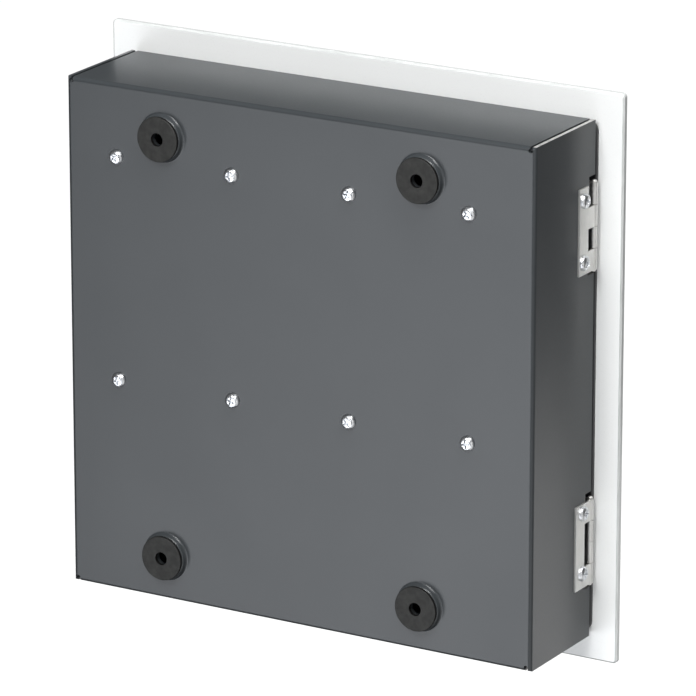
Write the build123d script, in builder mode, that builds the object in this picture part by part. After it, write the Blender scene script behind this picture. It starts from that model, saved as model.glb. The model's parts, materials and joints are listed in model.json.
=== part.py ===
from build123d import *
import os

os.makedirs("parts", exist_ok=True)

# Wall-mounted key cabinet: a folded sheet-steel casing on four rubber pads, two bars of key hooks,
# and a square glass door on two butt hinges, held shut by a magnetic catch.
# The origin is the centre of the four wall holes, in the plane of the wall. +Z is up, the wall is on
# the +Y side, and the glass faces -Y. A depth is a distance from the wall towards the room (-Y).

# ---------------------------------------------------------------- driving dimensions, mm
CASE_WIDTH = 272.0
CASE_HEIGHT = 272.0
CASE_DEPTH = 62.0
CASE_MID_X = -3.4  # where the casing's middle stands from the middle of the wall-hole pattern
CASE_MID_Z = 0.6
SHEET = 2.0
BEND_RADIUS = 2.3
SEAM = 1.5
RELIEF_RADIUS = 1.3
RELIEF_INSET = 1.9

WALL_SPACING_X = 151.0
WALL_SPACING_Z = 224.0
WALL_HOLE_RADIUS = 3.5
PAD_RADIUS = 11.75
PAD_THICKNESS = 2.0
PAD_EDGE = 0.4
BOSS_HEIGHT = 3.0
BOSS_TOP_RADIUS = 12.0
BOSS_BASE_RADIUS = 12.6
BOSS_TOP_ROUND = 0.8
BOSS_BASE_ROUND = 1.0

GLASS_SIZE = 300.0
GLASS_THICKNESS = 4.0
GLASS_CORNER = 2.2
GLASS_CHAMFER = 0.9

DOOR_GAP = 1.2
TRAY_HEIGHT = 269.6
TRAY_THICKNESS = 2.2
TRAY_SHEET = 1.0
TRAY_CORNER = 6.0
TRAY_BEND = 0.8
TAPE_WIDTH = 25.0
TAPE_INSET = 28.0
TAPE_END_GAP = 6.0

HINGE_LENGTH = 45.0
UPPER_HINGE_Z = 82.0
LOWER_HINGE_Z = -84.1
KNUCKLES = 4
KNUCKLE_GAP = 0.3
KNUCKLE_RADIUS = 1.8
KNUCKLE_RELIEF = 7.6
PIN_RADIUS = 0.9
PIN_CLEARANCE = 0.05
PIN_HEAD_RADIUS = 1.3
PIN_HEAD_HEIGHT = 1.2
LEAF = 1.0
CASE_LEAF_WIDTH = 16.6
DOOR_LEAF_WIDTH = 14.5
CASE_LEAF_HOLES = {"upper": (4.2, 0.0), "lower": (6.4, 1.8)}  # inset, and height above the middle
DOOR_LEAF_HOLE_INSET = 4.2
LEAF_HOLE_SPACING = 32.0
NOTCH_DEPTH = 6.0
NOTCH_ABOVE = 4.0
NOTCH_BELOW = 2.0

SCREW_RADIUS = 2.0
SCREW_HOLE_RADIUS = 2.15
SCREW_HEAD_RADIUS = 4.0
SCREW_HEAD_HEIGHT = 2.4
RECESS_SPAN = 4.6
RECESS_WIDTH = 0.95
RECESS_DEPTH = 1.5
NUT_ACROSS_FLATS = 7.0
NUT_THICKNESS = 3.2
NUT_END = 1.0
RIVET_RADIUS = 1.5
RIVET_HEAD_RADIUS = 2.8
RIVET_HEAD_HEIGHT = 1.2
RIVET_TAIL_RADIUS = 2.4
RIVET_TAIL_HEIGHT = 0.8

BAR_LENGTH = 236.0
BAR_HEIGHT = 14.0
BAR_THICKNESS = 6.0
BAR_EDGE = 0.6
BAR_SHIFT_X = 0.3
UPPER_BAR_Z = 98.0
LOWER_BAR_Z = -20.8
BAR_SCREWS = 4
BAR_SCREW_SPACING = 68.5
BAR_TAP_DEPTH = 5.0
HOOKS = 8
HOOK_SPACING = 27.0
HOOK_RADIUS = 1.2
HOOK_SOCKET = 3.0
HOOK_REACH = 13.0
HOOK_BEND = 4.0
HOOK_TIP = 4.0
HOOK_ROUND = 0.5

CATCH_HEIGHT = 50.0
CATCH_WIDTH = 15.0
CATCH_DEPTH = 16.0
CATCH_SHORT = 0.4  # the housing's face stands this far behind the casing's front edge
CATCH_EDGE = 1.0
MAGNET_LENGTH = 36.0
MAGNET_THICKNESS = 5.0
POLE_THICKNESS = 1.5
POLE_DEPTH = 14.0
MAGNET_SHORT = 1.0
SLOT_CLEARANCE = 0.1
CATCH_SCREW_RADIUS = 1.5
CATCH_SCREW_HEAD_RADIUS = 2.8
CATCH_SCREW_HEAD_HEIGHT = 1.8
CATCH_SCREW_LENGTH = 9.0
CATCH_SCREW_SPACING = 43.0

# ---------------------------------------------------------------- places worked out from them
BACK_DEPTH = PAD_THICKNESS + BOSS_HEIGHT
INSIDE_DEPTH = BACK_DEPTH + SHEET
FRONT_DEPTH = BACK_DEPTH + CASE_DEPTH
TRAY_DEPTH = FRONT_DEPTH + DOOR_GAP
GLASS_DEPTH = TRAY_DEPTH + TRAY_THICKNESS
BAR_FACE_DEPTH = INSIDE_DEPTH + BAR_THICKNESS
HALF_WIDTH = CASE_WIDTH / 2
HALF_HEIGHT = CASE_HEIGHT / 2
CASE_MIDDLE = (CASE_MID_X, CASE_MID_Z)
HINGE_X = CASE_MID_X - HALF_WIDTH
HINGE_DEPTH = TRAY_DEPTH - KNUCKLE_RADIUS
HINGE_AXIS = (HINGE_X, -HINGE_DEPTH)
KNUCKLE_LENGTH = (HINGE_LENGTH - (KNUCKLES - 1) * KNUCKLE_GAP) / KNUCKLES
DOOR_LEAF_HOLE_X = HINGE_X + DOOR_LEAF_WIDTH - DOOR_LEAF_HOLE_INSET
CATCH_FRONT_DEPTH = FRONT_DEPTH - CATCH_SHORT
CATCH_BACK_DEPTH = CATCH_FRONT_DEPTH - CATCH_DEPTH
CATCH_WALL_X = CASE_MID_X + HALF_WIDTH - SHEET
CATCH_X = CATCH_WALL_X - CATCH_WIDTH / 2
POLE_BACK_DEPTH = TRAY_DEPTH - POLE_DEPTH
CATCH_SCREW_DEPTH = CATCH_FRONT_DEPTH - CATCH_DEPTH / 2

PAD_CENTRES = {
    f"{row}_{side}": (x * WALL_SPACING_X / 2, z * WALL_SPACING_Z / 2)
    for row, z in (("upper", 1), ("lower", -1))
    for side, x in (("left", -1), ("right", 1))
}
BAR_HEIGHTS = {"upper": UPPER_BAR_Z, "lower": LOWER_BAR_Z}
HINGE_HEIGHTS = {"upper": UPPER_HINGE_Z, "lower": LOWER_HINGE_Z}
# Knuckles are counted from the top. The rest belong to the door's leaf.
CASE_KNUCKLES = {"upper": (1, 3), "lower": (0, 3)}


def front_plane(depth):
    """A plane parallel to the wall: local x is +X, local y is +Z, and extruding goes to the room."""
    return Plane.XZ.offset(depth)


def save(builder, name):
    """Labels a finished piece and writes it as its own node."""
    builder.part.label = name
    export_step(builder.part, f"parts/{name}.step")


def evenly(count, spacing):
    """Places centred on zero."""
    return [(i - (count - 1) / 2) * spacing for i in range(count)]


def case_leaf_holes(row):
    """The (y, z) places of the screws through a hinge's casing leaf."""
    inset, rise = CASE_LEAF_HOLES[row]
    y = -HINGE_DEPTH + CASE_LEAF_WIDTH - inset
    return [(y, HINGE_HEIGHTS[row] + rise + z) for z in evenly(2, LEAF_HOLE_SPACING)]


def pan_screw(radius, head_radius, head_height, length):
    """A cross-recess pan-head screw. Its head stands on z = 0 and its shank points down."""
    with BuildPart() as screw:
        with BuildSketch(Plane.XZ):
            with BuildLine():
                flat = (head_radius * 0.45, head_height)
                rim = (head_radius, head_height * 0.25)
                Polyline(flat, (0, head_height), (0, 0), (head_radius, 0), rim)
                TangentArc(flat, rim, tangent=(1, 0))
            make_face()
        revolve(axis=Axis.Z)
        with BuildSketch(Plane.XY):
            Circle(radius)
        extrude(amount=-length)
        chamfer(screw.edges().sort_by(Axis.Z)[0], length=radius * 0.25)
        with BuildSketch(Plane.XY.offset(head_height)):
            Rectangle(RECESS_SPAN, RECESS_WIDTH)
            Rectangle(RECESS_WIDTH, RECESS_SPAN)
            Circle(RECESS_WIDTH)
        extrude(amount=-RECESS_DEPTH, taper=12, mode=Mode.SUBTRACT)
    return screw.part


# ---------------------------------------------------------------- casing
with BuildPart() as rear_casing:
    with BuildSketch(front_plane(BACK_DEPTH)):
        with Locations(CASE_MIDDLE):
            Rectangle(CASE_WIDTH, CASE_HEIGHT)
    extrude(amount=CASE_DEPTH)
    fillet(rear_casing.faces().sort_by(Axis.Y)[-1].edges(), radius=BEND_RADIUS)
    with BuildSketch(front_plane(INSIDE_DEPTH)):
        with Locations(CASE_MIDDLE):
            Rectangle(CASE_WIDTH - 2 * SHEET, CASE_HEIGHT - 2 * SHEET)
    extrude(amount=CASE_DEPTH, mode=Mode.SUBTRACT)
    inner_back = rear_casing.faces().filter_by(Axis.Y).sort_by(Axis.Y)[-2]
    fillet(inner_back.edges(), radius=BEND_RADIUS - SHEET)

    # The back is pressed out into a round boss under each wall pad.
    for x, z in PAD_CENTRES.values():
        across = Plane(origin=(x, 0, z), x_dir=(1, 0, 0), z_dir=(0, 0, 1))
        pad_axis = Axis((x, 0, z), (0, 1, 0))
        with BuildSketch(across) as boss_profile:
            rim = BOSS_BASE_RADIUS + 2 * BOSS_BASE_ROUND
            with BuildLine():
                Polyline(
                    (0, -INSIDE_DEPTH),
                    (rim, -INSIDE_DEPTH),
                    (rim, -BACK_DEPTH),
                    (BOSS_BASE_RADIUS, -BACK_DEPTH),
                    (BOSS_TOP_RADIUS, -PAD_THICKNESS),
                    (0, -PAD_THICKNESS),
                    close=True,
                )
            make_face()
            foot = boss_profile.vertices().sort_by_distance((BOSS_BASE_RADIUS, -BACK_DEPTH))[0]
            fillet(foot, radius=BOSS_BASE_ROUND)
            shoulder = boss_profile.vertices().sort_by_distance((BOSS_TOP_RADIUS, -PAD_THICKNESS))[0]
            fillet(shoulder, radius=BOSS_TOP_ROUND)
        revolve(axis=pad_axis)
        with BuildSketch(across):
            with BuildLine():
                Polyline(
                    (0, -INSIDE_DEPTH),
                    (BOSS_BASE_RADIUS - SHEET, -INSIDE_DEPTH),
                    (BOSS_TOP_RADIUS - SHEET, -PAD_THICKNESS - SHEET),
                    (0, -PAD_THICKNESS - SHEET),
                    close=True,
                )
            make_face()
        revolve(axis=pad_axis, mode=Mode.SUBTRACT)
    with BuildSketch(front_plane(0)):
        with Locations(*PAD_CENTRES.values()):
            Circle(WALL_HOLE_RADIUS)
    extrude(amount=INSIDE_DEPTH, mode=Mode.SUBTRACT)

    # Screw holes for the hook bars.
    with BuildSketch(front_plane(BACK_DEPTH)):
        for z in BAR_HEIGHTS.values():
            with Locations((BAR_SHIFT_X, z)):
                with GridLocations(BAR_SCREW_SPACING, 1, BAR_SCREWS, 1):
                    Circle(SCREW_HOLE_RADIUS)
    extrude(amount=SHEET, mode=Mode.SUBTRACT)

    # The side flanges run the full height. The top and bottom flanges stop short of them with an
    # open seam, which starts from a relief hole at each corner of the back.
    seam_x = HALF_WIDTH - SHEET - SEAM / 2
    with BuildSketch(front_plane(BACK_DEPTH)):
        with Locations(CASE_MIDDLE):
            with GridLocations(2 * seam_x, CASE_HEIGHT, 2, 2):
                Rectangle(SEAM, 2 * SHEET)
    extrude(amount=CASE_DEPTH, mode=Mode.SUBTRACT)
    with BuildSketch(front_plane(BACK_DEPTH)):
        with Locations(CASE_MIDDLE):
            with GridLocations(2 * seam_x, CASE_HEIGHT - 2 * RELIEF_INSET, 2, 2):
                Circle(RELIEF_RADIUS)
    extrude(amount=SHEET, mode=Mode.SUBTRACT)

    # The hinged side is notched for the knuckles and drilled for the hinge screws.
    for row, z in HINGE_HEIGHTS.items():
        with BuildSketch(front_plane(FRONT_DEPTH - NOTCH_DEPTH)):
            with Locations((HINGE_X, z + (NOTCH_ABOVE - NOTCH_BELOW) / 2)):
                Rectangle(4 * SHEET, HINGE_LENGTH + NOTCH_ABOVE + NOTCH_BELOW)
        extrude(amount=NOTCH_DEPTH, mode=Mode.SUBTRACT)
        with BuildSketch(Plane.YZ.offset(HINGE_X)):
            with Locations(*case_leaf_holes(row)):
                Circle(SCREW_HOLE_RADIUS)
        extrude(amount=SHEET, mode=Mode.SUBTRACT)

    # The free side is drilled for the catch's screws.
    with BuildSketch(Plane.YZ.offset(CATCH_WALL_X)):
        with Locations((-CATCH_SCREW_DEPTH, CASE_MID_Z)):
            with GridLocations(1, CATCH_SCREW_SPACING, 1, 2):
                Circle(CATCH_SCREW_RADIUS + PIN_CLEARANCE)
    extrude(amount=SHEET, mode=Mode.SUBTRACT)
save(rear_casing, "rear_casing")

# ---------------------------------------------------------------- wall pads
for place, (x, z) in PAD_CENTRES.items():
    with BuildPart() as wall_pad:
        with BuildSketch(front_plane(0)):
            with Locations((x, z)):
                Circle(PAD_RADIUS)
                Circle(WALL_HOLE_RADIUS, mode=Mode.SUBTRACT)
        extrude(amount=PAD_THICKNESS)
        rims = wall_pad.edges().filter_by(GeomType.CIRCLE).group_by(SortBy.RADIUS)[-1]
        fillet(rims, radius=PAD_EDGE)
    save(wall_pad, f"wall_pad_{place}")

# ---------------------------------------------------------------- hook bars, hooks and their screws
bar_screw = pan_screw(SCREW_RADIUS, SCREW_HEAD_RADIUS, SCREW_HEAD_HEIGHT, SHEET + BAR_TAP_DEPTH)

with BuildPart() as key_hook:
    with BuildLine(Plane.YZ) as wire:
        straight = Line((-BAR_FACE_DEPTH + HOOK_SOCKET, 0), (-BAR_FACE_DEPTH - HOOK_REACH, 0))
        bend = TangentArc(
            straight @ 1, (-BAR_FACE_DEPTH - HOOK_REACH - HOOK_BEND, HOOK_BEND), tangent=straight % 1
        )
        Line(bend @ 1, bend @ 1 + Vector(0, 0, HOOK_TIP))
    with BuildSketch(front_plane(BAR_FACE_DEPTH - HOOK_SOCKET)):
        Circle(HOOK_RADIUS)
    sweep()
    fillet(key_hook.edges().group_by(Axis.Z)[-1], radius=HOOK_ROUND)

for row, bar_z in BAR_HEIGHTS.items():
    screw_x = [BAR_SHIFT_X + x for x in evenly(BAR_SCREWS, BAR_SCREW_SPACING)]
    hook_x = [BAR_SHIFT_X + x for x in evenly(HOOKS, HOOK_SPACING)]

    with BuildPart() as hook_bar:
        with BuildSketch(front_plane(INSIDE_DEPTH)):
            with Locations((BAR_SHIFT_X, bar_z)):
                Rectangle(BAR_LENGTH, BAR_HEIGHT)
        extrude(amount=BAR_THICKNESS)
        chamfer(hook_bar.faces().sort_by(Axis.Y)[0].edges(), length=BAR_EDGE)
        with BuildSketch(front_plane(INSIDE_DEPTH)):
            with Locations(*[(x, bar_z) for x in screw_x]):
                Circle(SCREW_RADIUS)
        extrude(amount=BAR_TAP_DEPTH, mode=Mode.SUBTRACT)
        with BuildSketch(front_plane(BAR_FACE_DEPTH)):
            with Locations(*[(x, bar_z) for x in hook_x]):
                Circle(HOOK_RADIUS)
        extrude(amount=-HOOK_SOCKET, mode=Mode.SUBTRACT)
    save(hook_bar, f"{row}_hook_bar")

    with BuildPart() as key_hooks:
        with Locations(*[(x, 0, bar_z) for x in hook_x]):
            add(key_hook.part)
    save(key_hooks, f"{row}_key_hooks")

    with BuildPart() as bar_screws:
        turns = [31 * (i + 1) + bar_z for i in range(BAR_SCREWS)]
        places = [Location((x, -BACK_DEPTH, bar_z), (-90, 0, turn)) for x, turn in zip(screw_x, turns)]
        with Locations(*places):
            add(bar_screw)
    save(bar_screws, f"{row}_bar_screws")

# ---------------------------------------------------------------- hinges
hinge_screw = pan_screw(
    SCREW_RADIUS, SCREW_HEAD_RADIUS, SCREW_HEAD_HEIGHT, LEAF + SHEET + NUT_THICKNESS + NUT_END
)


def knuckle_rows(hinge_z, rows):
    """Bottom heights of the given knuckles, counted from the top of a hinge."""
    top = hinge_z + HINGE_LENGTH / 2
    return [top - KNUCKLE_LENGTH - row * (KNUCKLE_LENGTH + KNUCKLE_GAP) for row in rows]


def axis_prism(bottom, height, outline, mode=Mode.ADD):
    """Extrudes an outline, centred on the hinge axis, upwards from the height bottom."""
    with BuildSketch(Plane.XY.offset(bottom)) as prism:
        with Locations(HINGE_AXIS):
            outline()
    extrude(prism.sketch, amount=height, mode=mode)


def roll_knuckles(hinge_z, own_rows, other_rows, relief):
    """Cuts a leaf back beside the other leaf's knuckles, and adds its own round the pin."""
    for bottom in knuckle_rows(hinge_z, other_rows):
        axis_prism(
            bottom - KNUCKLE_GAP,
            KNUCKLE_LENGTH + 2 * KNUCKLE_GAP,
            lambda: Rectangle(2 * relief, 2 * relief),
            Mode.SUBTRACT,
        )
    for bottom in knuckle_rows(hinge_z, own_rows):
        axis_prism(bottom, KNUCKLE_LENGTH, lambda: Circle(KNUCKLE_RADIUS))
    bottom = hinge_z - HINGE_LENGTH / 2
    axis_prism(bottom, HINGE_LENGTH, lambda: Circle(PIN_RADIUS + PIN_CLEARANCE), Mode.SUBTRACT)


for row, hinge_z in HINGE_HEIGHTS.items():
    case_rows = CASE_KNUCKLES[row]
    door_rows = [i for i in range(KNUCKLES) if i not in case_rows]
    hole_z = [hinge_z + z for z in evenly(2, LEAF_HOLE_SPACING)]

    with BuildPart() as casing_leaf:
        with BuildSketch(Plane.YZ.offset(HINGE_X)):
            with Locations((-HINGE_DEPTH + CASE_LEAF_WIDTH / 2, hinge_z)):
                Rectangle(CASE_LEAF_WIDTH, HINGE_LENGTH)
            with Locations(*case_leaf_holes(row)):
                Circle(SCREW_HOLE_RADIUS, mode=Mode.SUBTRACT)
        extrude(amount=-LEAF)
        roll_knuckles(hinge_z, case_rows, door_rows, KNUCKLE_RELIEF)
    save(casing_leaf, f"{row}_hinge_casing_leaf")

    with BuildPart() as door_leaf:
        with BuildSketch(front_plane(TRAY_DEPTH - LEAF)):
            with Locations((HINGE_X + DOOR_LEAF_WIDTH / 2, hinge_z)):
                Rectangle(DOOR_LEAF_WIDTH, HINGE_LENGTH)
            with Locations(*[(DOOR_LEAF_HOLE_X, z) for z in hole_z]):
                Circle(RIVET_RADIUS, mode=Mode.SUBTRACT)
        extrude(amount=LEAF)
        roll_knuckles(hinge_z, door_rows, case_rows, KNUCKLE_RADIUS + 2 * KNUCKLE_GAP)
    save(door_leaf, f"{row}_hinge_door_leaf")

    # The pin's lower head bears on the casing's knuckle, and its upper head stands just clear.
    pin_bottom = hinge_z - HINGE_LENGTH / 2
    pin_length = HINGE_LENGTH + KNUCKLE_GAP
    with BuildPart() as hinge_pin:
        axis_prism(pin_bottom, pin_length, lambda: Circle(PIN_RADIUS))
        axis_prism(pin_bottom, -PIN_HEAD_HEIGHT, lambda: Circle(PIN_HEAD_RADIUS))
        axis_prism(pin_bottom + pin_length, PIN_HEAD_HEIGHT, lambda: Circle(PIN_HEAD_RADIUS))
        ends = hinge_pin.edges().group_by(Axis.Z)
        fillet(ends[0] + ends[-1], radius=PIN_HEAD_HEIGHT * 0.75)
    save(hinge_pin, f"{row}_hinge_pin")

    with BuildPart() as hinge_screws:
        places = [
            Location((HINGE_X - LEAF, y, z), (0, -90, 25 + 0.4 * z)) for y, z in case_leaf_holes(row)
        ]
        with Locations(*places):
            add(hinge_screw)
    save(hinge_screws, f"{row}_hinge_screws")

    with BuildPart() as hinge_nuts:
        with BuildSketch(Plane.YZ.offset(HINGE_X + SHEET)):
            with Locations(*case_leaf_holes(row)):
                RegularPolygon(NUT_ACROSS_FLATS / 2, 6, major_radius=False)
                Circle(SCREW_RADIUS, mode=Mode.SUBTRACT)
        extrude(amount=NUT_THICKNESS)
    save(hinge_nuts, f"{row}_hinge_nuts")

    with BuildPart() as hinge_rivets:
        rivet_places = [(DOOR_LEAF_HOLE_X, z) for z in hole_z]
        rivet_steps = (
            (TRAY_DEPTH - LEAF, RIVET_RADIUS, LEAF + TRAY_SHEET),
            (TRAY_DEPTH - LEAF, RIVET_HEAD_RADIUS, -RIVET_HEAD_HEIGHT),
            (TRAY_DEPTH + TRAY_SHEET, RIVET_TAIL_RADIUS, RIVET_TAIL_HEIGHT),
        )
        for depth, radius, length in rivet_steps:
            with BuildSketch(front_plane(depth)):
                with Locations(*rivet_places):
                    Circle(radius)
            extrude(amount=length)
        heads = hinge_rivets.edges().group_by(Axis.Y)[-1]
        fillet(heads, radius=RIVET_HEAD_HEIGHT * 0.8)
    save(hinge_rivets, f"{row}_hinge_rivets")

# ---------------------------------------------------------------- door
with BuildPart() as door_tray:
    with BuildSketch(front_plane(TRAY_DEPTH)):
        with Locations(CASE_MIDDLE):
            RectangleRounded(CASE_WIDTH, TRAY_HEIGHT, TRAY_CORNER)
    extrude(amount=TRAY_THICKNESS)
    fillet(door_tray.faces().sort_by(Axis.Y)[-1].edges(), radius=TRAY_BEND)
    with BuildSketch(front_plane(TRAY_DEPTH + TRAY_SHEET)):
        with Locations(CASE_MIDDLE):
            RectangleRounded(
                CASE_WIDTH - 2 * TRAY_SHEET, TRAY_HEIGHT - 2 * TRAY_SHEET, TRAY_CORNER - TRAY_SHEET
            )
    extrude(amount=TRAY_THICKNESS, mode=Mode.SUBTRACT)
    with BuildSketch(front_plane(TRAY_DEPTH)):
        for hinge_z in HINGE_HEIGHTS.values():
            with Locations((DOOR_LEAF_HOLE_X, hinge_z)):
                with GridLocations(1, LEAF_HOLE_SPACING, 1, 2):
                    Circle(RIVET_RADIUS)
    extrude(amount=TRAY_SHEET, mode=Mode.SUBTRACT)
save(door_tray, "door_tray")

with BuildPart() as adhesive_tapes:
    upright_x = HALF_WIDTH - TAPE_INSET
    level_z = TRAY_HEIGHT / 2 - TAPE_INSET + TAPE_WIDTH / 2
    with BuildSketch(front_plane(TRAY_DEPTH + TRAY_SHEET)):
        with Locations(CASE_MIDDLE):
            with GridLocations(2 * upright_x, 1, 2, 1):
                Rectangle(TAPE_WIDTH, 2 * level_z)
            with GridLocations(1, 2 * level_z - TAPE_WIDTH, 1, 2):
                Rectangle(2 * upright_x - TAPE_WIDTH - 2 * TAPE_END_GAP, TAPE_WIDTH)
    extrude(amount=TRAY_THICKNESS - TRAY_SHEET)
save(adhesive_tapes, "adhesive_tapes")

with BuildPart() as glass_panel:
    with BuildSketch(front_plane(GLASS_DEPTH)):
        with Locations(CASE_MIDDLE):
            RectangleRounded(GLASS_SIZE, GLASS_SIZE, GLASS_CORNER)
    extrude(amount=GLASS_THICKNESS)
    faces = glass_panel.faces().sort_by(Axis.Y)
    chamfer(faces[0].edges() + faces[-1].edges(), length=GLASS_CHAMFER)
save(glass_panel, "glass_panel")

# ---------------------------------------------------------------- magnetic catch
with BuildPart() as catch_housing:
    with BuildSketch(front_plane(CATCH_BACK_DEPTH)):
        with Locations((CATCH_X, CASE_MID_Z)):
            Rectangle(CATCH_WIDTH, CATCH_HEIGHT)
    extrude(amount=CATCH_DEPTH)
    fillet(catch_housing.faces().sort_by(Axis.X)[0].edges(), radius=CATCH_EDGE)
    with BuildSketch(front_plane(POLE_BACK_DEPTH)):
        with Locations((CATCH_X, CASE_MID_Z)):
            Rectangle(
                MAGNET_THICKNESS + 2 * POLE_THICKNESS + 2 * SLOT_CLEARANCE,
                MAGNET_LENGTH + 2 * SLOT_CLEARANCE,
            )
    extrude(amount=CATCH_DEPTH, mode=Mode.SUBTRACT)
    with BuildSketch(Plane.YZ.offset(CATCH_WALL_X)):
        with Locations((-CATCH_SCREW_DEPTH, CASE_MID_Z)):
            with GridLocations(1, CATCH_SCREW_SPACING, 1, 2):
                Circle(CATCH_SCREW_RADIUS)
    extrude(amount=SHEET - CATCH_SCREW_LENGTH, mode=Mode.SUBTRACT)
save(catch_housing, "catch_housing")

with BuildPart() as catch_magnet:
    with BuildSketch(front_plane(POLE_BACK_DEPTH)):
        with Locations((CATCH_X, CASE_MID_Z)):
            Rectangle(MAGNET_THICKNESS, MAGNET_LENGTH)
    extrude(amount=POLE_DEPTH - MAGNET_SHORT)
save(catch_magnet, "catch_magnet")

with BuildPart() as catch_pole_plates:
    pole_x = (MAGNET_THICKNESS + POLE_THICKNESS) / 2
    with BuildSketch(front_plane(POLE_BACK_DEPTH)):
        with Locations(*[(CATCH_X + side * pole_x, CASE_MID_Z) for side in (-1, 1)]):
            Rectangle(POLE_THICKNESS, MAGNET_LENGTH)
    extrude(amount=POLE_DEPTH)
save(catch_pole_plates, "catch_pole_plates")

catch_screw = pan_screw(
    CATCH_SCREW_RADIUS, CATCH_SCREW_HEAD_RADIUS, CATCH_SCREW_HEAD_HEIGHT, CATCH_SCREW_LENGTH
)
with BuildPart() as catch_screws:
    places = [
        Location((CASE_MID_X + HALF_WIDTH, -CATCH_SCREW_DEPTH, CASE_MID_Z + z), (0, 90, 35 + z))
        for z in evenly(2, CATCH_SCREW_SPACING)
    ]
    with Locations(*places):
        add(catch_screw)
save(catch_screws, "catch_screws")
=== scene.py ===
import json
import math

import bpy
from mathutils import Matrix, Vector


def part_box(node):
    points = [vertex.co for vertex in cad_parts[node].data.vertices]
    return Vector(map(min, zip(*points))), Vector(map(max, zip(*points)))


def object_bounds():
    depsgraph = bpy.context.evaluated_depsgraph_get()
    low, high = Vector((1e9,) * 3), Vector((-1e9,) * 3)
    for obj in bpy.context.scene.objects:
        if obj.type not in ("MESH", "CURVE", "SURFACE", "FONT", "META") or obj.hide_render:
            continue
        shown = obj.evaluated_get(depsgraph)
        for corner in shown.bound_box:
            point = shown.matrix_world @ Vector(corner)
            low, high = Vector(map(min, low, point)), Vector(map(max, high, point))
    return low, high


# A wall-mounted key cabinet seen from behind: satin slate casing, black rubber pads, bright screws,
# stainless hinges and a white-backed glass door. Lengths are in metres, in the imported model's frame.

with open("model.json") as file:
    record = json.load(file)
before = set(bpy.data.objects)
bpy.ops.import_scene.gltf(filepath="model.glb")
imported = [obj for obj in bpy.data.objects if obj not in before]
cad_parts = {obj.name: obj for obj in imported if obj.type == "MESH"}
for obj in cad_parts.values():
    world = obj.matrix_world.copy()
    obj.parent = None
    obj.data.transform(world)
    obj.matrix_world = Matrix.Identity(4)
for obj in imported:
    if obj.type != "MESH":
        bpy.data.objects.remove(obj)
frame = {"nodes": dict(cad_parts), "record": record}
NODES = frame["nodes"]
CAD_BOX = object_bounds()
CENTRE = (CAD_BOX[0] + CAD_BOX[1]) / 2

MM = 0.001
# Width and blur of the painted highlight on the hinge side's flange ends.
EDGE_HIGHLIGHT_WIDTH = 2.0 * MM
EDGE_HIGHLIGHT_BLUR = 0.05 * MM
# Radius of the edges painted lighter: rubbed wear and a painted edge highlight.
RUBBED_AND_HIGHLIT_EDGE_RADIUS = 0.6 * MM

# Roughness runs from the first value to the second across each surface.
COAT_ROUGHNESS = (0.27, 0.35)
RUBBER_ROUGHNESS = (0.5, 0.66)
ZINC_ROUGHNESS = (0.26, 0.4)
BAR_ROUGHNESS = (0.26, 0.4)
HINGE_ROUGHNESS = (0.42, 0.56)
WIRE_ROUGHNESS = (0.12, 0.2)
PLASTIC_ROUGHNESS = (0.42, 0.58)
TAPE_ROUGHNESS = (0.7, 0.9)
FERRITE_ROUGHNESS = (0.5, 0.7)
GLASS_BACK_ROUGHNESS = (0.34, 0.48)
GLASS_FRONT_ROUGHNESS = (0.03, 0.07)
GLASS_RIM_ROUGHNESS = (0.1, 0.2)

# A noise stays near the middle of 0 to 1, so these limits stretch it to its full range.
SOFT = (0.35, 0.65)
WIDE = (0.3, 0.7)
# The same for the sum of two noises.
SOFT_SUM = (0.7, 1.3)
WIDE_SUM = (0.4, 1.6)
# A facing value between these limits is at the edge of a flat face.
FLAT = (0.9, 0.97)
TO_WALL = (0, 1, 0)
TO_ROOM = (0, -1, 0)
UP = (0, 0, 1)


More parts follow.
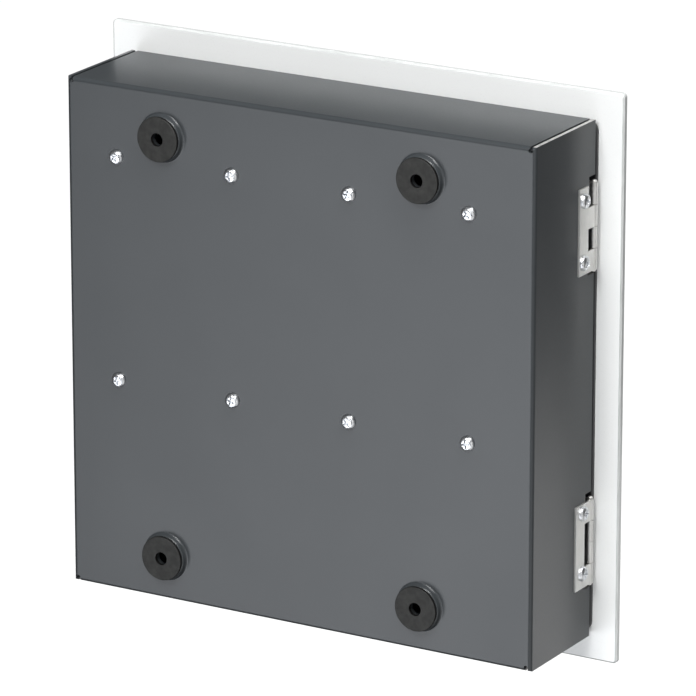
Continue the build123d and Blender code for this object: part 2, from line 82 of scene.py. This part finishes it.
# ---------------------------------------------------------------- node helpers
class Shader:
    """A material whose nodes are made and joined by name."""

    def __init__(self, name, **sockets):
        self.material = bpy.data.materials.new(name)
        self.material.use_nodes = True
        self.tree = self.material.node_tree
        self.surface = self.tree.nodes["Principled BSDF"]
        self.coords = self.add("ShaderNodeTexCoord").outputs["Object"]
        self.bumped = None
        for socket, value in sockets.items():
            self.surface.inputs[socket.replace("_", " ")].default_value = value

    def add(self, kind, inputs=None, **settings):
        node = self.tree.nodes.new(kind)
        for key, value in settings.items():
            setattr(node, key, value)
        for key, value in (inputs or {}).items():
            self.feed(node.inputs[key], value)
        return node

    def feed(self, socket, value):
        if isinstance(value, bpy.types.NodeSocket):
            self.tree.links.new(value, socket)
        else:
            socket.default_value = value

    def stretched(self, x, y, z):
        """Object coordinates multiplied along each axis."""
        return self.add("ShaderNodeMapping", {"Vector": self.coords, "Scale": (x, y, z)}).outputs["Vector"]

    def noise(self, scale, detail=2.0, roughness=0.5, vector=None):
        vector = vector or self.coords
        inputs = {"Vector": vector, "Scale": scale, "Detail": detail, "Roughness": roughness}
        return self.add("ShaderNodeTexNoise", inputs).outputs["Fac"]

    def cells(self, scale):
        inputs = {"Vector": self.coords, "Scale": scale}
        return self.add("ShaderNodeTexVoronoi", inputs).outputs["Distance"]

    def spread(self, value, limits, to=(0.0, 1.0)):
        """Maps a value between the two limits to the range to, and holds it at the ends."""
        inputs = {"Value": value, "From Min": limits[0], "From Max": limits[1]}
        inputs.update({"To Min": to[0], "To Max": to[1]})
        return self.add("ShaderNodeMapRange", inputs).outputs["Result"]

    def part_of(self, value, share):
        """A value between 0 and 1, held there and scaled down to a share."""
        return self.spread(value, (0.0, 1.0), (0.0, share))

    def sum(self, a, b):
        return self.add("ShaderNodeMath", {0: a, 1: b}, operation="ADD").outputs["Value"]

    def product(self, a, b):
        return self.add("ShaderNodeMath", {0: a, 1: b}, operation="MULTIPLY").outputs["Value"]

    def size_of(self, value):
        return self.add("ShaderNodeMath", {0: value}, operation="ABSOLUTE").outputs["Value"]

    def mix(self, factor, a, b):
        return self.add("ShaderNodeMix", {"Factor": factor, "A": a, "B": b}).outputs["Result"]

    def blend(self, factor, a, b):
        """Two colours mixed by a factor."""
        node = self.add("ShaderNodeMix", data_type="RGBA", blend_type="MIX")
        self.feed(node.inputs["Factor"], factor)
        self.feed(node.inputs["A"], a)
        self.feed(node.inputs["B"], b)
        return node.outputs["Result"]

    def facing(self, axis):
        """How far the surface faces along an axis of the object, -1 to 1."""
        normal = self.add("ShaderNodeTexCoord").outputs["Normal"]
        node = self.add("ShaderNodeVectorMath", {0: normal, 1: axis}, operation="DOT_PRODUCT")
        return node.outputs["Value"]

    def place(self, axis):
        """The coordinate along one axis of the object, in metres."""
        node = self.add("ShaderNodeSeparateXYZ", {"Vector": self.coords})
        return node.outputs["XYZ".index(axis)]

    def worn_edge(self, radius, limits=(0.75, 0.98)):
        """1 on edges of about that radius and 0 on flat areas."""
        rounded = self.add("ShaderNodeBevel", {"Radius": radius}, samples=6).outputs["Normal"]
        true = self.add("ShaderNodeNewGeometry").outputs["Normal"]
        dot = self.add("ShaderNodeVectorMath", {0: rounded, 1: true}, operation="DOT_PRODUCT")
        return self.spread(dot.outputs["Value"], limits, (1.0, 0.0))

    def bump(self, height, distance, strength=1.0):
        inputs = {"Height": height, "Distance": distance, "Strength": strength}
        if self.bumped:
            inputs["Normal"] = self.bumped
        self.bumped = self.add("ShaderNodeBump", inputs).outputs["Normal"]
        self.feed(self.surface.inputs["Normal"], self.bumped)

    def colour(self, value):
        self.feed(self.surface.inputs["Base Color"], value)

    def rough(self, value):
        self.feed(self.surface.inputs["Roughness"], value)


def grey(r, g=None, b=None):
    """A linear colour."""
    return (r, r if g is None else g, r if b is None else b, 1.0)


# ---------------------------------------------------------------- materials
def flange_end_highlight_mask(s):
    """1 on the top and bottom ends of the hinge side's flange, and 0 elsewhere; these ends get a painted
    highlight in light steel grey.
    """
    inner_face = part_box("rear_casing")[0].x + EDGE_HIGHLIGHT_WIDTH
    on_flange = s.spread(s.place("X"), (inner_face + EDGE_HIGHLIGHT_BLUR, inner_face - EDGE_HIGHLIGHT_BLUR))
    end_faces = s.spread(s.size_of(s.facing(UP)), FLAT)
    return s.product(on_flange, end_faces)


def flange_highlight_grey(s):
    # Light steel grey for the painted highlight on the flange ends.
    return s.blend(s.spread(s.noise(500, 3), (0.4, 0.6)), grey(0.2, 0.2, 0.195), grey(0.32, 0.32, 0.31))


def powder_coat(name, base, light, rub_and_highlight, painted_flange_highlight=False):
    """Satin powder coat: fine orange peel, faint clouds, thin dust, and edges painted a little lighter,
    partly rubbed wear and partly a painted edge highlight.
    """
    s = Shader(name, Specular_IOR_Level=0.5)
    clouds = s.spread(s.noise(9, 3), SOFT)
    dust = s.spread(s.noise(2600, 2, 0.6), WIDE)
    body = s.blend(clouds, base, light)
    body = s.blend(s.part_of(dust, 0.12), body, grey(0.12, 0.125, 0.13))
    # Rounded edges are painted lighter: partly rubbed wear, partly a painted edge highlight.
    rubbed_and_highlit = s.product(s.worn_edge(RUBBED_AND_HIGHLIT_EDGE_RADIUS), s.spread(s.noise(160, 3), SOFT))
    body = s.blend(s.part_of(rubbed_and_highlit, 0.45), body, rub_and_highlight)
    if painted_flange_highlight:
        # Painted highlight: the hinge side's flange ends are painted light steel grey.
        body = s.blend(flange_end_highlight_mask(s), body, flange_highlight_grey(s))
    s.colour(body)
    s.rough(s.spread(s.sum(s.noise(14, 3), s.noise(900)), WIDE_SUM, COAT_ROUGHNESS))
    s.bump(s.noise(1500), 0.02 * MM, 0.15)
    s.bump(s.noise(420), 0.03 * MM, 0.12)
    return s.material


def moulded_rubber():
    """Matte black rubber: fine mould texture, grey dust on the faces, and painted shade on the round and
    bore walls.
    """
    s = Shader("pad_rubber_look", Specular_IOR_Level=0.35)
    dust = s.spread(s.noise(220, 4, 0.6), (0.42, 0.72))
    face = s.blend(dust, grey(0.013, 0.013, 0.012), grey(0.026, 0.026, 0.024))
    on_face = s.spread(s.size_of(s.facing(TO_WALL)), (0.1, 0.5))
    # Painted shade: walls that face neither the wall nor the room are painted near black.
    s.colour(s.blend(on_face, grey(0.003), face))
    s.rough(s.spread(s.noise(500), WIDE, RUBBER_ROUGHNESS))
    s.bump(s.noise(1800, 3, 0.6), 0.05 * MM, 0.5)
    s.bump(s.cells(700), 0.03 * MM, 0.3)
    return s.material


def zinc_plate():
    """Bright zinc: faintly blue and patchy, with small tumbling marks that make it sparkle."""
    s = Shader("zinc_screw_look", Metallic=1.0)
    patches = s.spread(s.noise(900, 3), SOFT)
    s.colour(s.blend(patches, grey(0.86, 0.87, 0.88), grey(0.72, 0.74, 0.77)))
    s.rough(s.spread(s.noise(1200), WIDE, ZINC_ROUGHNESS))
    s.bump(s.cells(1100), 0.12 * MM, 0.7)
    s.bump(s.noise(600), 0.08 * MM, 0.5)
    return s.material


def brushed(name, light, dark, along, roughness=BAR_ROUGHNESS):
    """Metal brushed along one axis, with drifting tone and fine scratches."""
    s = Shader(name, Metallic=1.0)
    across_scale = 22.0
    scale = [1.0 if axis == along else across_scale for axis in "xyz"]
    lines = s.noise(190, 3, 0.65, vector=s.stretched(*scale))
    fine = s.noise(700, 2, 0.6, vector=s.stretched(*scale))
    tone = s.spread(s.sum(lines, s.noise(60, 3)), SOFT_SUM)
    s.colour(s.blend(tone, dark, light))
    s.rough(s.spread(fine, WIDE, roughness))
    s.bump(lines, 0.012 * MM, 0.5)
    s.bump(fine, 0.006 * MM, 0.4)
    return s.material


def backed_glass():
    """Glass with white lacquer on its back: glossy in front, satin behind, and a polished grey rim."""
    s = Shader("backed_glass_look", Specular_IOR_Level=0.5)
    rear = s.spread(s.facing(TO_WALL), FLAT)
    front = s.spread(s.facing(TO_ROOM), FLAT)
    mottle = s.spread(s.noise(7, 3), SOFT)
    lacquer = s.blend(mottle, grey(0.80, 0.81, 0.805), grey(0.83, 0.84, 0.835))
    specks = s.spread(s.noise(1500), (0.62, 0.72))
    lacquer = s.blend(s.part_of(specks, 0.3), lacquer, grey(0.7, 0.7, 0.69))
    grinding = s.noise(60, 3, 0.6, vector=s.stretched(1.0, 18.0, 1.0))
    rim = s.blend(s.spread(grinding, SOFT), grey(0.44, 0.455, 0.45), grey(0.56, 0.575, 0.57))
    s.colour(s.blend(s.sum(rear, front), rim, lacquer))
    rear_rough = s.spread(s.noise(800, 3), WIDE, GLASS_BACK_ROUGHNESS)
    front_rough = s.spread(s.noise(30, 3), WIDE, GLASS_FRONT_ROUGHNESS)
    rim_rough = s.spread(grinding, WIDE, GLASS_RIM_ROUGHNESS)
    s.rough(s.mix(front, s.mix(rear, rim_rough, rear_rough), front_rough))
    s.bump(s.noise(900), 0.01 * MM, 0.3)
    return s.material


def moulding(name, low, high, roughness, grain_scale):
    """A moulded or pressed surface with a fine grain and faint tone changes."""
    s = Shader(name)
    s.colour(s.blend(s.spread(s.noise(120, 3), SOFT), low, high))
    s.rough(s.spread(s.noise(grain_scale), WIDE, roughness))
    s.bump(s.cells(grain_scale), 0.03 * MM, 0.5)
    s.bump(s.noise(grain_scale * 2), 0.02 * MM, 0.5)
    return s.material


LOOKS = {
    "casing_coat": powder_coat(
        "casing_coat_look",
        grey(0.025, 0.029, 0.032),
        grey(0.029, 0.033, 0.036),
        # Edge colour: rubbed wear and a painted edge highlight.
        grey(0.14, 0.145, 0.15),
        # The hinge side's flange ends get a painted highlight.
        painted_flange_highlight=True,
    ),
    "tray_coat": powder_coat(
        # The last colour is for the edges, painted lighter as rubbed wear and a painted edge highlight.
        "tray_coat_look", grey(0.012, 0.012, 0.013), grey(0.016, 0.016, 0.017), grey(0.05, 0.05, 0.05)
    ),
    "backed_glass": backed_glass(),
    "pad_rubber": moulded_rubber(),
    "zinc_screw": zinc_plate(),
    "hinge_steel": brushed(
        "hinge_steel_look", grey(0.9, 0.895, 0.87), grey(0.74, 0.735, 0.715), "z", HINGE_ROUGHNESS
    ),
    "bar_aluminium": brushed("bar_aluminium_look", grey(0.78, 0.78, 0.79), grey(0.66, 0.66, 0.67), "x"),
    "hook_wire": brushed(
        "hook_wire_look", grey(0.8, 0.79, 0.77), grey(0.66, 0.65, 0.63), "y", WIRE_ROUGHNESS
    ),
    "foam_tape": moulding("foam_tape_look", grey(0.012), grey(0.022), TAPE_ROUGHNESS, 500),
    "catch_plastic": moulding(
        "catch_plastic_look", grey(0.03, 0.031, 0.033), grey(0.04, 0.041, 0.043), PLASTIC_ROUGHNESS, 900
    ),
    "ferrite": moulding("ferrite_look", grey(0.02), grey(0.032), FERRITE_ROUGHNESS, 1300),
    "pole_steel": brushed("pole_steel_look", grey(0.62, 0.62, 0.6), grey(0.5, 0.5, 0.49), "z"),
}

for part in frame["record"]["subparts"]:
    for material_slot in NODES[part["node"]].material_slots:
        material_slot.material = LOOKS[part["material_slot"]]


# ---------------------------------------------------------------- stage
FLOOR_DROP = 0.9
FLOOR_SIZE = 40.0
PAPER_ROUGHNESS = (0.8, 0.95)
WORLD_STRENGTH = 0.06
SKY_ENERGY = 3.3
SKY_ANGLE = math.radians(30)

scene = bpy.context.scene
floor_mesh = bpy.data.meshes.new("floor")
half = FLOOR_SIZE / 2
floor_z = CAD_BOX[0].z - FLOOR_DROP
floor_mesh.from_pydata(
    [(-half, -half, floor_z), (half, -half, floor_z), (half, half, floor_z), (-half, half, floor_z)],
    [],
    [(0, 1, 2, 3)],
)
floor = bpy.data.objects.new("floor", floor_mesh)
scene.collection.objects.link(floor)
paper = Shader("floor_paper", Specular_IOR_Level=0.2)
paper.colour(paper.blend(paper.spread(paper.noise(2), WIDE), grey(0.93), grey(0.95)))
paper.rough(paper.spread(paper.noise(40), WIDE, PAPER_ROUGHNESS))
floor_mesh.materials.append(paper.material)
floor.visible_diffuse = False
floor.visible_glossy = False

world = bpy.data.worlds.new("studio")
scene.world = world
world.use_nodes = True
background = world.node_tree.nodes["Background"]
background.inputs["Color"].default_value = grey(1.0)
background.inputs["Strength"].default_value = WORLD_STRENGTH


def softbox(name, direction, distance, size, radiance, tint=(1.0, 1.0, 1.0)):
    """A square area light facing the cabinet from that direction, with the same radiance at any size."""
    lamp = bpy.data.lights.new(name, "AREA")
    lamp.shape = "SQUARE"
    lamp.size = size
    lamp.energy = radiance * math.pi * size**2
    lamp.color = tint
    light = bpy.data.objects.new(name, lamp)
    towards = Vector(direction).normalized()
    light.location = CENTRE + towards * distance
    light.rotation_euler = towards.to_track_quat("Z", "Y").to_euler()
    light.visible_camera = False
    scene.collection.objects.link(light)


# The cool panel is what the back reflects, the two keys light the glass and the top fold, and the
# rest show the hinge side, the screws and the lower edges.
PANEL_TINT = (0.96, 0.985, 1.03)
softbox("side_panel", (0.343, 1.667, -1.022), distance=1.985, size=1.9, radiance=3.3, tint=PANEL_TINT)
softbox("rear_key", (-0.08, 0.75, 0.62), distance=1.6, size=0.5, radiance=24.0)
softbox("top_key", (-0.44, 0.28, 0.84), distance=1.5, size=0.4, radiance=22.0)
softbox("side_wrap", (-1.2, 0.7, 0.1), distance=1.4, size=0.9, radiance=1.1)
softbox("low_fill", (-0.7, 0.3, -0.66), distance=0.75, size=0.6, radiance=0.9)
softbox("front_low", (-0.72, -0.98, -0.80), distance=1.455, size=0.8, radiance=1.55)

# A lamp with no turn shines straight down, which keeps the floor white under the soft boxes.
sky_lamp = bpy.data.lights.new("sky", "SUN")
sky_lamp.energy = SKY_ENERGY
sky_lamp.angle = SKY_ANGLE
sky = bpy.data.objects.new("sky", sky_lamp)
sky.visible_glossy = False
scene.collection.objects.link(sky)

# ---------------------------------------------------------------- camera
CAMERA_AZIMUTH = math.radians(210.48)
CAMERA_ELEVATION = math.radians(17.41)
CAMERA_DISTANCE = 2.947
CAMERA_TARGET = Vector((-0.01603, -0.0348, 0.00714))
CAMERA_LENS_MM = 300.5
CAMERA_SENSOR_MM = 36.0
CAMERA_CLIP = (0.1, 100.0)

camera_data = bpy.data.cameras.new("camera")
camera_data.lens = CAMERA_LENS_MM
camera_data.sensor_width = CAMERA_SENSOR_MM
camera_data.clip_start, camera_data.clip_end = CAMERA_CLIP
camera = bpy.data.objects.new("camera", camera_data)
scene.collection.objects.link(camera)
level = math.cos(CAMERA_ELEVATION)
to_camera = Vector((
    math.sin(CAMERA_AZIMUTH) * level,
    -math.cos(CAMERA_AZIMUTH) * level,
    math.sin(CAMERA_ELEVATION),
))
camera.location = CAMERA_TARGET + to_camera * CAMERA_DISTANCE
camera.rotation_euler = to_camera.to_track_quat("Z", "Y").to_euler()
scene.camera = camera
scene.view_settings.view_transform = "Standard"
